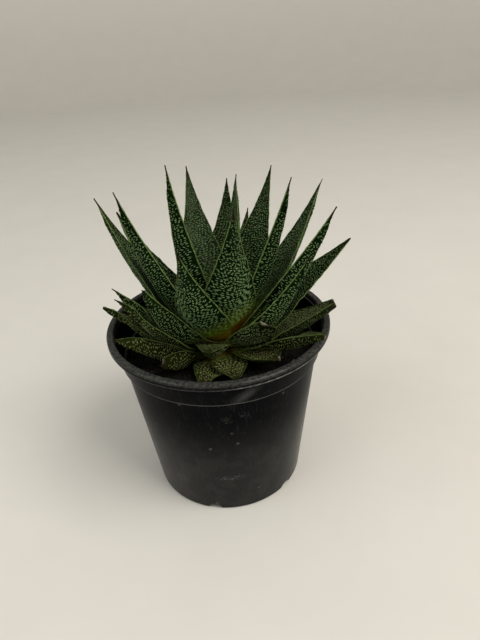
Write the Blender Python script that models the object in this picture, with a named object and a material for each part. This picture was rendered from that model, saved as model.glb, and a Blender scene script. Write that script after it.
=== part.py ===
"""Potted gasteria: a rosette of thick, keeled, warty leaves in a black nursery pot.

The model is in metres with +Z up. Its origin is the centre of the pot's base, on the surface that
the pot stands on. Lengths below are in millimetres and are scaled by MM when a mesh is made.
Azimuths are in degrees, 0 towards +X and -90 towards the front of the pot.
"""
import math
from collections import namedtuple

import bpy
import numpy as np
from mathutils import Vector
from mathutils.bvhtree import BVHTree

MM = 0.001
TOUCH_GAP = 0.3          # clearance between pieces that touch

POT_HEIGHT = 108.5
RIM_RADIUS = 65.0
BASE_RADIUS = 47.1
FOOT_ROUND = 1.5
WALL = 1.5
FLOOR = 2.0
STEP_HEIGHT = 90.8       # the collar begins here
STEP_RADIUS = 57.5       # outside of the wall just under the collar
STEP_OUT = 1.8           # how far the collar stands out there
STEP_SLOPE = 0.5         # height of the sloping ledge under the collar
LEDGE = (STEP_HEIGHT - 1.2, STEP_HEIGHT + 0.4)    # the same ledge inside, from foot to top
LIP_HEIGHT = 4.3
LIP_OVERHANG = 3.2
LIP_ROUND = 1.3
MOUTH_ROUND = 1.1
MOUTH_FLARE = 0.7        # how much the mouth widens over the height of the lip
POT_SIDES = 56

NOTCHES = 6              # drainage notches in the edge of the base
NOTCH_WIDTH = 8.5
NOTCH_HEIGHT = 3.2
NOTCH_REACH = 11.0       # length of a notch's cutter along the radius
NOTCH_INSET = 1.0        # its middle lies this far inside the edge
FIRST_NOTCH = -104.5

SOIL_LEVEL = 86.0        # at the wall of the pot, below its ledge
SOIL_DIP = 3.8           # how much lower the soil is round the stem
SOIL_DIP_REACH = 34.0
SOIL_RINGS = 7
SOIL_SEED = 7
CRUMB = 0.5

STEM_RADIUS = 11.5
STEM_FOOT = 66.0
CROWN_HEIGHT = 91.5      # centre of the stem's domed top, which the leaves grow from
DOME_LAST = 75.0         # last ring of the dome below its top, in degrees above the horizontal
DOME_STEPS = 5
STEM_SIDES = 24
CREASE = 35.0            # turned pieces keep an edge that is sharper than this, in degrees

LEAF_SEAT = STEM_RADIUS + TOUCH_GAP
FIRST_TILT = 16.0        # the youngest leaf starts this far from the dome's top, in degrees
TILT_RANGE = 64.0        # and the oldest this much further down
TILT_POWER = 0.8
LOW_SHARE = 0.7          # leaves past this share of the way to the oldest grow lower on the stem
LOW_DROP = 1.5           # how much lower the oldest grows
SLOUCH = 0.12            # share of a leaf's chord by which its bend lies nearer to the stem
TAPER_SHARE = 0.7        # a leaf narrows over this share of its whole length
LEAF_GAP = 0.6           # clearance between one leaf and the next
CROWDED_REACH = 28.0     # leaves widen over this length, out of the crowd round the stem
SEAT_TURN = 16.0         # a leaf's section turns from the dome to its own line over this length
SEAT_BODY = 0.4          # share of its thickness that a leaf has at the stem
TIP_BODY = 0.15          # and towards its tip
BODY_POWER = 0.8
TIP_THINNING = 6.0       # the last sixth of the taper thins away to the point
TIP_WIDTH = 1.2
TIP_THICKNESS = 0.9
CUP = 0.1                # the margins of the inner face stand up by this share of half the width
KEEL_POWER = 1.4         # 1 makes the outer face a sharp keel and 2 makes it round
LEAST_THICKNESS = 1.2
WART_HEIGHT = 0.7
WART_FREE_FOOT = 0.15    # share of a leaf's length at the stem that has no warts
WART_FADE = 0.2
WART_FREE_TIP = 0.15
LEAF_ROWS = 14
LEAF_COLS = 8
FINE = 3                 # finer grid that the bends are worked out on
PRESS_PASSES = 3         # times that a leaf is bent a little further
CROWD_LAYERS = 8         # most leaves that one leaf can lie behind
CROWD_REACH = 30.0       # furthest that the crowd of younger leaves reaches past a face

Leaf = namedtuple("Leaf", "azimuth reach height bow width thick neck twist missing")

# Azimuth, reach and height of the tip, outward bow, width, thickness, width at the stem, twist in
# degrees and length missing from a broken tip. The first leaf is the youngest.
LEAVES = [
    (30, 18, 189, 2, 25, 6, 13, 0, 0),
    (-150, 22, 201, 3, 28, 7, 14, 0, 0),
    (112, 28, 191, 3, 29, 7, 13, 0, 0),
    (72, 38, 180, 4, 29, 7, 13, 0, 0),
    (-6, 43, 189, 4, 28, 7, 14, 25, 0),
    (-72, 36, 184, 4, 33, 7, 21, 0, 0),
    (-166, 47, 190, 5, 29, 7, 13, -20, 0),
    (50, 61, 183, 5, 30, 7, 14, 0, 0),
    (-112, 44, 168, 5, 31, 7, 20, 0, 0),
    (175, 59, 183, 6, 30, 7, 14, 0, 0),
    (12, 64, 182, 6, 30, 7, 14, 0, 0),
    (-20, 66, 178, 6, 29, 7, 13, 35, 0),
    (153, 59, 168, 5, 28, 7, 13, 0, 2),
    (100, 62, 160, 5, 28, 7, 13, 0, 0),
    (-40, 60, 160, 6, 28, 7, 16, 0, 0),
    (-8, 74, 156, 3, 28, 7, 15, -35, 2),
    (70, 76, 150, 7, 28, 7, 11, 0, 0),
    (-145, 45, 143, 4, 31, 9, 20, -15, 3),
    (-176, 57, 135, 3, 29, 8, 14, -35, 0),
    (133, 70, 140, 7, 27, 7, 11, 0, 0),
    (-48, 42, 121, 1, 25, 8, 20, 85, 10),
    (-158, 57, 137, 2, 30, 9, 15, -45, 0),
    (-9, 66, 118.5, 4, 27, 9, 14, 8, 12),
    (85, 70, 125, 6, 27, 7, 13, 0, 0),
    (-172, 63, 126.5, 1, 26, 8, 12, -35, 4),
    (-34, 66, 114.5, 0, 27, 10, 13, 18, 6),
    (-103, 36, 110.5, 1, 31, 11, 14, 30, 4),
    (165, 60, 116, 2, 25, 6, 13, 0, 0),
    (42, 56, 108, -1, 24, 6, 13, 0, 0),
    (-160, 62, 112, 0, 32, 12, 13, -65, 1),
    (-50, 47, 103, 2, 27, 11, 13, 0, 5),
    (-143, 42, 98, -1, 27, 10, 12, -50, 9),
    (110, 54, 105, -2, 23, 5, 13, 0, 0),
    (-80, 42, 103.5, 2, 29, 10, 14, 0, 4),
    (-106, 41, 91, -0.5, 25, 5, 13, 0, 4),
]


def material(name, colour, roughness):
    """Plain Principled material."""
    made = bpy.data.materials.new(name)
    made.use_nodes = True
    shader = made.node_tree.nodes["Principled BSDF"]
    shader.inputs["Base Color"].default_value = (*colour, 1.0)
    shader.inputs["Roughness"].default_value = roughness
    shader.inputs["Metallic"].default_value = 0.0
    return made


def solid(name, points, faces, finish, smooth=False):
    """Object with its place in its mesh, from points in millimetres."""
    mesh = bpy.data.meshes.new(name)
    mesh.from_pydata((np.asarray(points, float) * MM).tolist(), [], faces)
    mesh.validate()
    mesh.materials.append(finish)
    if smooth:
        mesh.shade_smooth()
        mesh.set_sharp_from_angle(angle=math.radians(CREASE))
    item = bpy.data.objects.new(name, mesh)
    bpy.context.collection.objects.link(item)
    return item


def turned(profile, sides):
    """Points and faces of a closed profile (radius, height) turned round Z.

    The profile runs anticlockwise as seen with the radius to the right; a radius of zero closes
    on the axis.
    """
    points = []
    rings = []
    angles = [2 * math.pi * k / sides for k in range(sides)]
    for radius, height in profile:
        if radius == 0:
            rings.append([len(points)])
            points.append((0.0, 0.0, height))
            continue
        rings.append(list(range(len(points), len(points) + sides)))
        points += [(radius * math.cos(a), radius * math.sin(a), height) for a in angles]
    faces = []
    closed = profile[0][0] != 0
    pairs = list(zip(rings, rings[1:] + rings[:1])) if closed else list(zip(rings, rings[1:]))
    for low, high in pairs:
        for k in range(sides):
            n = (k + 1) % sides
            if len(low) == 1:
                faces.append((low[0], high[n], high[k]))
            elif len(high) == 1:
                faces.append((low[k], low[n], high[0]))
            else:
                faces.append((low[k], low[n], high[n], high[k]))
    return points, faces


def arc(centre, radius, start, end, steps):
    """Points on a round corner of a profile, angles in degrees."""
    turns = [math.radians(start + (end - start) * k / steps) for k in range(steps + 1)]
    return [(centre[0] + radius * math.cos(a), centre[1] + radius * math.sin(a)) for a in turns]


def wall_radius(height):
    """Inside radius of the pot at a height, for the pot and for the soil that fills it."""
    heights = [FLOOR, LEDGE[0], LEDGE[1], POT_HEIGHT - LIP_HEIGHT, POT_HEIGHT]
    body_top = STEP_RADIUS - WALL
    collar_top = RIM_RADIUS - LIP_OVERHANG - WALL
    radii = [BASE_RADIUS - WALL, body_top, body_top + STEP_OUT, collar_top, collar_top + MOUTH_FLARE]
    return float(np.interp(height, heights, radii))


def make_pot(finish):
    """Turned pot with a stepped collar, a thick rolled lip and notches in its bottom edge."""
    under_lip = POT_HEIGHT - LIP_HEIGHT
    lip_edge = RIM_RADIUS - LIP_ROUND
    mouth = wall_radius(POT_HEIGHT) + MOUTH_ROUND
    profile = [(0, 0)]
    profile += arc((BASE_RADIUS - FOOT_ROUND, FOOT_ROUND), FOOT_ROUND, -90, 0, 3)
    profile += [(STEP_RADIUS, STEP_HEIGHT - STEP_SLOPE), (STEP_RADIUS + STEP_OUT, STEP_HEIGHT)]
    profile += [(wall_radius(under_lip) + WALL, under_lip)]
    profile += arc((lip_edge, under_lip + LIP_ROUND), LIP_ROUND, -90, 0, 2)
    profile += arc((lip_edge, POT_HEIGHT - LIP_ROUND), LIP_ROUND, 0, 90, 3)
    profile += arc((mouth, POT_HEIGHT - MOUTH_ROUND), MOUTH_ROUND, 90, 180, 2)
    profile += [(wall_radius(z), z) for z in (under_lip, LEDGE[1], LEDGE[0], FLOOR)]
    profile += [(0, FLOOR)]
    pot = solid("pot", *turned(profile, POT_SIDES), finish, smooth=True)
    for k in range(NOTCHES):
        bpy.ops.mesh.primitive_cube_add(size=1)
        cutter = bpy.context.object
        cutter.name = f"notch_cutter_{k + 1}"
        turn = math.radians(FIRST_NOTCH + 360 / NOTCHES * k)
        away = (BASE_RADIUS - NOTCH_INSET) * MM
        cutter.scale = (NOTCH_REACH * MM, NOTCH_WIDTH * MM, 2 * NOTCH_HEIGHT * MM)
        cutter.rotation_euler = (0, 0, turn)
        cutter.location = (away * math.cos(turn), away * math.sin(turn), 0)
        cutter.hide_render = True
        cutter.display_type = "WIRE"
        cut = pot.modifiers.new(f"notch_{k + 1}", "BOOLEAN")
        cut.object = cutter
        cut.operation = "DIFFERENCE"
        cut.solver = "EXACT"


def make_soil(finish):
    """Soil that fills the pot, with a crumbly top and a plain hole that the stem stands in."""
    draw = np.random.default_rng(SOIL_SEED)
    hole = STEM_RADIUS + TOUCH_GAP
    bottom = FLOOR + TOUCH_GAP
    rim = wall_radius(SOIL_LEVEL) - TOUCH_GAP
    profile = [(0, bottom), (wall_radius(bottom) - TOUCH_GAP, bottom)]
    profile += [(rim + (hole - rim) * k / SOIL_RINGS, SOIL_LEVEL) for k in range(SOIL_RINGS + 1)]
    profile += [(hole, STEM_FOOT - TOUCH_GAP), (0, STEM_FOOT - TOUCH_GAP)]
    points, faces = turned(profile, POT_SIDES)
    points = np.array(points)
    away = np.hypot(points[:, 0], points[:, 1])
    top = points[:, 2] == SOIL_LEVEL
    dip = 1 - smooth_step((away - STEM_RADIUS) / (SOIL_DIP_REACH - STEM_RADIUS))
    points[top, 2] -= SOIL_DIP * dip[top]
    crumbly = top & (away < rim - 1) & (away > hole + 1)
    points[crumbly, 2] += draw.uniform(-CRUMB, CRUMB, crumbly.sum())
    solid("soil", points, faces, finish)


def make_stem(finish):
    """Short thick stem: a cylinder in the soil with a domed top."""
    profile = [(0, STEM_FOOT), (STEM_RADIUS, STEM_FOOT)]
    profile += arc((0, CROWN_HEIGHT), STEM_RADIUS, 0, DOME_LAST, DOME_STEPS)
    profile += [(0, CROWN_HEIGHT + STEM_RADIUS)]
    solid("stem", *turned(profile, STEM_SIDES), finish, smooth=True)


def smooth_step(x):
    """Ease from 0 to 1 as x goes from 0 to 1."""
    x = np.clip(x, 0, 1)
    return x * x * (3 - 2 * x)


def leaf_sheet(leaf, rank, rows, cols):
    """Inner face of one leaf, as a grid of rows along it and columns across it.

    The middle line is a quadratic curve in the upright plane at the leaf's azimuth, from the
    stem's dome to the tip. The rows lie square to it. Returns the grid of points, the direction
    from the inner to the outer face for each row, and the natural thickness at each point.
    """
    turn = math.radians(leaf.azimuth)
    out = np.array([math.cos(turn), math.sin(turn), 0.0])
    side = np.array([-math.sin(turn), math.cos(turn), 0.0])
    age = rank / (len(LEAVES) - 1)
    polar = math.radians(FIRST_TILT + TILT_RANGE * age ** TILT_POWER)
    dome = np.array([math.sin(polar), math.cos(polar)])
    drop = LOW_DROP * smooth_step((age - LOW_SHARE) / (1 - LOW_SHARE))
    start = np.array([0, CROWN_HEIGHT - drop]) + LEAF_SEAT * dome
    end = np.array([leaf.reach, leaf.height], float)
    chord = end - start
    length = float(np.hypot(*chord))
    square = np.array([chord[1], -chord[0]]) / length
    middle = (start + end) / 2 - SLOUCH * chord + square * 2 * leaf.bow
    s = np.linspace(0, 1, rows + 1)[:, None]
    line = (1 - s) ** 2 * start + 2 * s * (1 - s) * middle + s ** 2 * end
    slope = 2 * (1 - s) * (middle - start) + 2 * s * (end - middle)
    slope /= np.linalg.norm(slope, axis=1, keepdims=True)
    square_to = dome + (slope - dome) * smooth_step(s * length / SEAT_TURN)
    square_to /= np.linalg.norm(square_to, axis=1, keepdims=True)
    away = square_to[:, 1:2] * out - square_to[:, 0:1] * np.array([0, 0, 1.0])
    lean = np.radians(leaf.twist) * s
    across = np.cos(lean) * side + np.sin(lean) * away
    away = np.cos(lean) * away - np.sin(lean) * side
    whole = length + leaf.missing
    share = np.clip((leaf.missing + length * (1 - s)) / (TAPER_SHARE * whole), 0, 1)
    taper = (np.sin(math.pi / 2 * share) + smooth_step(share)) / 2
    free = smooth_step(s * length / CROWDED_REACH)
    half = np.maximum((leaf.neck + (leaf.width - leaf.neck) * free) / 2 * taper, TIP_WIDTH / 2)
    body = leaf.thick * (TIP_BODY + (1 - TIP_BODY) * taper ** BODY_POWER)
    body *= SEAT_BODY + (1 - SEAT_BODY) * free
    body = np.maximum(body * np.clip(share * TIP_THINNING, 0, 1), TIP_THICKNESS)
    t = np.linspace(-1, 1, cols + 1)[None, :]
    centre = line[:, 0:1] * out + line[:, 1:2] * np.array([0, 0, 1.0])
    cup = CUP * half * t ** 2
    grid = centre[:, None, :] + (half * t)[..., None] * across[:, None, :]
    grid -= cup[..., None] * away[:, None, :]
    grid[0] = on_stem(grid[0])
    keel = 1 - np.abs(t) ** KEEL_POWER
    return grid, away, body * keel


def leaf_mesh(inner, outer):
    """Closed mesh of a leaf from its two faces, which share their margins."""
    rows, cols = outer.shape[0] - 1, outer.shape[1] - 1
    inner_cols = inner.shape[1] - 1
    points = list(outer.reshape(-1, 3))
    front = np.arange((rows + 1) * (cols + 1)).reshape(rows + 1, cols + 1)
    back = np.empty((rows + 1, inner_cols + 1), int)
    back[:, 0] = front[:, 0]
    back[:, -1] = front[:, -1]
    back[:, 1:-1] = len(points) + np.arange((rows + 1) * (inner_cols - 1)).reshape(rows + 1, -1)
    points += list(inner[:, 1:-1].reshape(-1, 3))
    faces = weave(front) + [f[::-1] for f in weave(back)]
    faces += close_end(front[0], back[0])
    faces += [f[::-1] for f in close_end(front[-1], back[-1])]
    return np.array(points), faces


def weave(ids):
    """Two triangles for each cell of a grid, with the diagonals turned about like a weave."""
    faces = []
    for i in range(ids.shape[0] - 1):
        for j in range(ids.shape[1] - 1):
            a, b, c, d = (int(k) for k in (ids[i, j], ids[i, j + 1], ids[i + 1, j + 1], ids[i + 1, j]))
            faces += [(a, b, c), (a, c, d)] if (i + j) % 2 else [(a, b, d), (b, c, d)]
    return faces


def close_end(many, few):
    """Triangles between the outer and the inner edge at one end of a leaf."""
    ratio = (len(many) - 1) // (len(few) - 1)
    faces = []
    for j in range(len(many) - 1):
        near = few[(j + ratio // 2) // ratio]
        if near not in (many[j], many[j + 1]):
            faces.append((int(many[j + 1]), int(many[j]), int(near)))
    for k in range(len(few) - 1):
        far = many[ratio * k + (ratio + 1) // 2]
        if far not in (few[k], few[k + 1]):
            faces.append((int(few[k]), int(few[k + 1]), int(far)))
    return faces


def push(grid, away, depth, least, shift, younger):
    """How far each point of an inner face has to move outwards to clear the younger leaves.

    A ray from just outside the outer face finds whether that place is inside a younger leaf, and
    then runs on out of it; otherwise a ray back inwards finds the last surface before it.
    """
    shift = shift.copy()
    for i in range(grid.shape[0]):
        ray = Vector(away[i])
        for j in range(grid.shape[1]):
            low = shift[i, j]
            for _ in range(CROWD_LAYERS):
                top = low + max(depth[i, j] - low, least[i, j]) + LEAF_GAP
                start = Vector(grid[i, j]) + ray * top
                hit, normal, _, far = younger.ray_cast(start, ray, CROWD_REACH)
                if hit is not None and normal.dot(ray) > 0:
                    low = top + far + LEAF_GAP
                    continue
                hit, normal, _, far = younger.ray_cast(start, -ray, top - low)
                if hit is None or normal.dot(ray) <= 0:
                    break
                low = top - far + LEAF_GAP
            shift[i, j] = low
    return shift


def around(field):
    """The nine values round each point of a grid."""
    wide = np.pad(field, 1, mode="edge")
    rows, cols = field.shape
    return [wide[i:i + rows, j:j + cols] for i in range(3) for j in range(3)]


def spread_out(field, cell):
    """Largest value within a cell of each point, then evened out, so that a bend is smooth."""
    for _ in range(2 * cell - 1):
        field = np.max(around(field), axis=0)
    for _ in range(cell):
        field = np.mean(around(field), axis=0)
    return field


def least_body(depth):
    """Thickness that a leaf keeps where younger leaves press into it."""
    t = np.linspace(-1, 1, depth.shape[1])[None, :]
    return LEAST_THICKNESS * (1 - t ** 2) * np.minimum(1, depth.max(axis=1, keepdims=True) / 2)


def leaf_faces(leaf, rank, rows, cols, younger):
    """Inner and outer face of one leaf, bent clear of the younger ones, with its warts."""
    shift = np.zeros((rows + 1, cols + 1))
    if younger is not None:
        grid, away, depth = leaf_sheet(leaf, rank, rows * FINE, cols * FINE)
        moved = np.zeros(depth.shape)
        for _ in range(PRESS_PASSES):
            pressed = push(grid, away, depth, least_body(depth), moved, younger)
            moved = moved + spread_out(pressed - moved, FINE)
        shift = moved[::FINE, ::FINE]
    inner, away, depth = leaf_sheet(leaf, rank, rows, cols)
    inner = inner + shift[..., None] * away[:, None, :]
    body = np.maximum(depth - shift, least_body(depth))
    s = np.linspace(0, 1, rows + 1)[:, None]
    odd = np.add.outer(np.arange(rows + 1), np.arange(cols + 1)) % 2
    warts = WART_HEIGHT * (1 - odd) * smooth_step((s - WART_FREE_FOOT) / WART_FADE)
    warts *= smooth_step((1 - s) / WART_FREE_TIP)
    warts[:, [0, -1]] = 0
    outer = inner + (body + warts)[..., None] * away[:, None, :]
    for face in (inner, outer):
        face[0] = on_stem(face[0])
    return inner, outer


def on_stem(points):
    """Points moved onto the seat that the leaves have round the stem and its dome."""
    hub = np.zeros(points.shape)
    hub[:, 2] = np.minimum(points[:, 2], CROWN_HEIGHT)
    reach = np.linalg.norm(points - hub, axis=1, keepdims=True)
    return hub + (points - hub) / reach * LEAF_SEAT


def make_leaves(finish):
    """Leaves from the youngest outwards, each one bent clear of those inside it."""
    seen_points = []
    seen_faces = []
    for rank, leaf in enumerate(LEAVES):
        younger = BVHTree.FromPolygons(seen_points, seen_faces) if seen_faces else None
        inner, outer = leaf_faces(Leaf(*leaf), rank, LEAF_ROWS, LEAF_COLS, younger)
        points, faces = leaf_mesh(inner[:, ::2], outer)
        solid(f"leaf_{rank + 1:02d}", points, faces, finish)
        seen_faces += [tuple(k + len(seen_points) for k in f) for f in faces]
        seen_points += [Vector(p) for p in points]


def main():
    for item in list(bpy.data.objects):
        bpy.data.objects.remove(item, do_unlink=True)
    make_pot(material("black plastic", (0.012, 0.013, 0.015), 0.42))
    make_soil(material("dark soil", (0.010, 0.009, 0.008), 0.95))
    make_stem(material("stem", (0.12, 0.13, 0.04), 0.6))
    make_leaves(material("leaf", (0.035, 0.09, 0.02), 0.5))


main()
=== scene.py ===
"""Looks of the potted gasteria: warty keeled leaves on a short stem, crumbly soil, a black pot.

Shapes are worked out in millimetres in the frame's own axes (+Z up, the pot's axis on Z, the
front of the pot towards -Y) and become metres when a mesh is made. Azimuths are in degrees,
0 towards +X and -90 towards the front.
"""

import math
from collections import namedtuple

import bpy
import numpy as np
from mathutils import Matrix, Vector
from mathutils.bvhtree import BVHTree


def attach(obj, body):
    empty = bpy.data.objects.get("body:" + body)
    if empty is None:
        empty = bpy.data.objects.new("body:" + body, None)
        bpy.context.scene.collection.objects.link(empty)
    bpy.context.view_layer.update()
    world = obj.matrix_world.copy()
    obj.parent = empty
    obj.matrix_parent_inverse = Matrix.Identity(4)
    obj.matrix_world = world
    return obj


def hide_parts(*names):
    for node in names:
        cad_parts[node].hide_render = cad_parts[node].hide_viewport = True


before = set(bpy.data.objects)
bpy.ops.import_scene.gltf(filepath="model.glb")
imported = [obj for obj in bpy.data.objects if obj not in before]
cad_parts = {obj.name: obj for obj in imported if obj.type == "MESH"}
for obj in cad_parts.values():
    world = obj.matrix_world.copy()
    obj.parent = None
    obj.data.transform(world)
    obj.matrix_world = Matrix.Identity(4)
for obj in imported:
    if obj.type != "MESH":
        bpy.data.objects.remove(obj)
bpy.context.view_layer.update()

MM = 0.001
UP = np.array([0.0, 0.0, 1.0])
TOUCH_GAP = 0.3

# Pot, with the sizes of the frame's own pot
POT_HEIGHT = 108.5
RIM_RADIUS = 65.0
BASE_RADIUS = 47.1
FOOT_ROUND = 1.5
WALL = 1.5
FLOOR = 2.0
STEP_HEIGHT = 90.8
STEP_RADIUS = 57.5
STEP_OUT = 1.8
STEP_SLOPE = 0.5
STEP_ROUND = 0.65
LEDGE = (STEP_HEIGHT - 1.2, STEP_HEIGHT + 0.4)
LIP_HEIGHT = 4.3
LIP_OVERHANG = 3.2
LIP_ROUND = 1.3
MOUTH_ROUND = 1.1
MOUTH_FLARE = 0.7
NOTCHES = 6
NOTCH_WIDTH = 8.5
NOTCH_HEIGHT = 3.2
NOTCH_DEPTH = 6.5  # along the radius, from the edge of the base
FIRST_NOTCH = -104.5
NOTCH_STEPS = 22  # lines across one notch, and as many to the next
NOTCH_SPREAD = 1.15  # share of the notch's width that those lines span
NOTCH_RUN = 0.4  # along the radius, over which a notch reaches its height
NOTCH_ROOF = 0.9  # plastic left over a notch
BASE_RING = 20.0  # radius of the innermost ring under the base
FLOOR_RING = 30.0  # and of the one on the floor inside
FLOOR_BEVEL = (0.7, 0.8)  # between floor and wall: along the radius, and up the wall
MOUTH_DROP = 0.4  # from the round of the mouth down to the plain inside wall
COLLAR_FOOT = (0.05, 1.1)  # start of the collar's wall, out from the ledge and up
RUN_END = 0.1  # a straight wall ends this far from the round next to it
SMALL_ROUND = 0.3  # in the corners under the step and under the lip
BODY_STEPS = 26  # rings on the body, the collar and the inside
COLLAR_STEPS = 16
INSIDE_STEPS = 24

# Dent in the collar, as soft folds: each pair is the middle and the spread of one
CREASE = (-79.5, 97.5)  # azimuth and height
CREASE_DEPTH = 1.3
CREASE_RISE = 33.0  # degrees that it slants up to the right
CREASE_ALONG = (-1.5, 7.5)
CREASE_HOLLOW = (0.0, 2.2)  # across it
CREASE_SWELL = (4.0, 2.6)  # across it, above the hollow
SWELL_SHARE = 0.45  # of the depth
CREASE_REFLECTION = (-1.3, 1.9)  # painted reflection: a pale streak across it
REFLECTION_SHARE = 0.6
CREASE_FROM = STEP_RADIUS - 2.5

# Soil and stem
SOIL_LEVEL = 86.0
SOIL_DIP = 3.8
SOIL_DIP_REACH = 34.0
STEM_RADIUS = 11.5
STEM_FOOT = 66.0
CROWN_HEIGHT = 91.5
SOIL_RINGS = 84
SOIL_SIDES = 240
SOIL_LUMPS = ((7.0, 1.3), (2.6, 0.9), (1.1, 0.5))  # width and height
LUMP_SEEDS = (3, 4, 5)
LATTICE_SHAPE = (150, 150)  # of the random numbers that the lumps are read from
LATTICE_EDGE = 80.0  # they reach this far to the left and front of the pot's axis
SOIL_LATTICES = [np.random.default_rng(seed).random(LATTICE_SHAPE) for seed in LUMP_SEEDS]
SOIL_SEED = 11
CRUMBS = 2300
CRUMB_SIZE = (0.35, 1.1)  # radius of the least, and how much more the largest has
CRUMB_FREE = (2.0, 1.2)  # ring without crumbs at the stem and at the wall
CRUMB_RISE = 0.25  # share of its size that a crumb's middle stands over the soil
PALE_CRUMBS = 0.018  # share of the crumbs

# Leaves, with the sizes and rules of the frame's own leaves
LEAF_SEAT = STEM_RADIUS + TOUCH_GAP
FIRST_TILT = 16.0
TILT_RANGE = 64.0
TILT_POWER = 0.8
LOW_SHARE = 0.7
LOW_DROP = 1.5
SLOUCH = 0.12
TAPER_SHARE = 0.7
CROWDED_REACH = 28.0
SEAT_TURN = 16.0
SEAT_BODY = 0.4
TIP_BODY = 0.15
BODY_POWER = 0.8
TIP_THINNING = 6.0
TIP_WIDTH = 0.5
TIP_THICKNESS = 0.4
CUP = 0.1
KEEL_POWER = 1.4
LEAST_THICKNESS = 1.2
CAD_ROWS = 14

# Fine skin of a leaf
SKIN_ROWS = 60
OUTER_COLS = 16
INNER_COLS = 10
FACE_EDGE = 0.965  # the faces reach this share of the half width, and a bead closes the rest
BEAD = 0.29  # radius of the pale bead along each margin
BEAD_TURNS = (90, 48, 0, -48, -90)
PROBE_ROWS = 56
PROBE_COLS = 16
PROBE_BACK = 2.0  # rays start this far inside the leaf's inner face
PRESS_RANGE = (0.05, 30.0)  # smaller finds count as none, larger ones as misses
ROW_CROWDING = 1.12  # rows come closer together towards the tip
EDGE_WAVE = (9.0, 0.45)  # length and height of the waves in a margin
BEAD_WAVE = (3.0, 0.5)  # and of those in the bead's radius, as a share of it
CALM_LENGTH = 60.0  # shorter leaves have lower waves
SKIN_LUMPS = ((2.3, 2), (3.9, -3), (1.3, 4))  # length along the leaf, and slant across it
SKIN_LUMP_HEIGHT = 0.11
TIP_RINGS = ((0.93, 0.25), (0.72, 0.25), (0.4, 0.12))  # size and step of each ring past the end
BLUNT_HALF = 3.0  # half width from which an end is broken off flat

# Warts. A share is one of the leaf's length.
WART_SIDES = 5
WARTS_A_ROW = 40
ROW_START = 18.0  # a row's warts are laid from this far left of the middle line
FIRST_ROW = 0.07  # share
ROW_SPACE = ((0.3, 0.5, 0.85), (1.36, 1.24, 0.95))  # shares, and the space between rows there
ROW_RISE = (0.16, 0.28)  # slope of a row away from the middle line at the foot, and its growth
ROW_WAVE = (0.35, 1.1, 0.35, 0.32)  # height, length, shift a row, and slope of its waves
DASH_LENGTH = (1.3, 3.2)  # low on the leaf
DOT_LENGTH = (0.7, 1.8)  # high on the leaf
DOTS_FROM = (0.42, 0.40)  # share where dashes start to turn to dots, and share that this takes
WART_SHRINK = ((0.4, 0.85), (1.0, 0.68))  # shares, and the size there
WART_GAP = (0.25, 0.65)
WART_WIDTH = (0.48, 0.68)
WART_TALL = (0.22, 0.36)
WART_ROOT = -0.16  # the foot is sunk this deep in the skin
WART_END = 0.965  # share past which there are none
INSIDE_TALL = 0.8  # warts of the inner face are this much lower and fainter
INSIDE_STRENGTH = 0.9
PLAIN_FOOT = 0.07  # share without warts, and share over which they grow pale, on most leaves
PLAIN_FADE = 0.12

Leaf = namedtuple("Leaf", "azimuth reach height bow width thick neck twist missing")
Rows = namedtuple("Rows", "share away across half length")

# Azimuth, reach and height of the tip, outward bow, width, thickness, width at the stem, twist in
# degrees and length missing from a broken tip. The first leaf is the youngest.
LEAVES = [
    (30, 18, 189, 2, 25, 6, 13, 0, 0),
    (-150, 22, 201, 3, 28, 7, 14, 0, 0),
    (112, 28, 191, 3, 29, 7, 13, 0, 0),
    (72, 38, 180, 4, 29, 7, 13, 0, 0),
    (-6, 43, 189, 4, 28, 7, 14, 25, 0),
    (-72, 36, 184, 4, 33, 7, 21, 0, 0),
    (-166, 47, 190, 5, 29, 7, 13, -20, 0),
    (50, 61, 183, 5, 30, 7, 14, 0, 0),
    (-112, 44, 168, 5, 31, 7, 20, 0, 0),
    (175, 59, 183, 6, 30, 7, 14, 0, 0),
    (12, 64, 182, 6, 30, 7, 14, 0, 0),
    (-20, 66, 178, 6, 29, 7, 13, 35, 0),
    (153, 59, 168, 5, 28, 7, 13, 0, 2),
    (100, 62, 160, 5, 28, 7, 13, 0, 0),
    (-40, 60, 160, 6, 28, 7, 16, 0, 0),
    (-8, 74, 156, 3, 28, 7, 15, -35, 2),
    (70, 76, 150, 7, 28, 7, 11, 0, 0),
    (-145, 45, 143, 4, 31, 9, 20, -15, 3),
    (-176, 57, 135, 3, 29, 8, 14, -35, 0),
    (133, 70, 140, 7, 27, 7, 11, 0, 0),
    (-48, 42, 121, 1, 25, 8, 20, 85, 10),
    (-158, 57, 137, 2, 30, 9, 15, -45, 0),
    (-9, 66, 118.5, 4, 27, 9, 14, 8, 12),
    (85, 70, 125, 6, 27, 7, 13, 0, 0),
    (-172, 63, 126.5, 1, 26, 8, 12, -35, 4),
    (-34, 66, 114.5, 0, 27, 10, 13, 18, 6),
    (-103, 36, 110.5, 1, 31, 11, 14, 30, 4),
    (165, 60, 116, 2, 25, 6, 13, 0, 0),
    (42, 56, 108, -1, 24, 6, 13, 0, 0),
    (-160, 62, 112, 0, 32, 12, 13, -65, 1),
    (-50, 47, 103, 2, 27, 11, 13, 0, 5),
    (-143, 42, 98, -1, 27, 10, 12, -50, 9),
    (110, 54, 105, -2, 23, 5, 13, 0, 0),
    (-80, 42, 103.5, 2, 29, 10, 14, 0, 4),
    (-106, 41, 91, -0.5, 25, 5, 13, 0, 4),
]
# Leaf number: how it lies, where the frame's own stands a little higher
SAGGED = {
    27: {"azimuth": -101, "reach": 34, "height": 107.5, "bow": -2, "twist": 0, "thick": 10},
    31: {"azimuth": -47, "reach": 45, "height": 99.5, "bow": -2, "twist": -20},
    34: {"reach": 41, "height": 94.0, "bow": 0, "width": 28, "thick": 6, "neck": 13},
}
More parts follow.
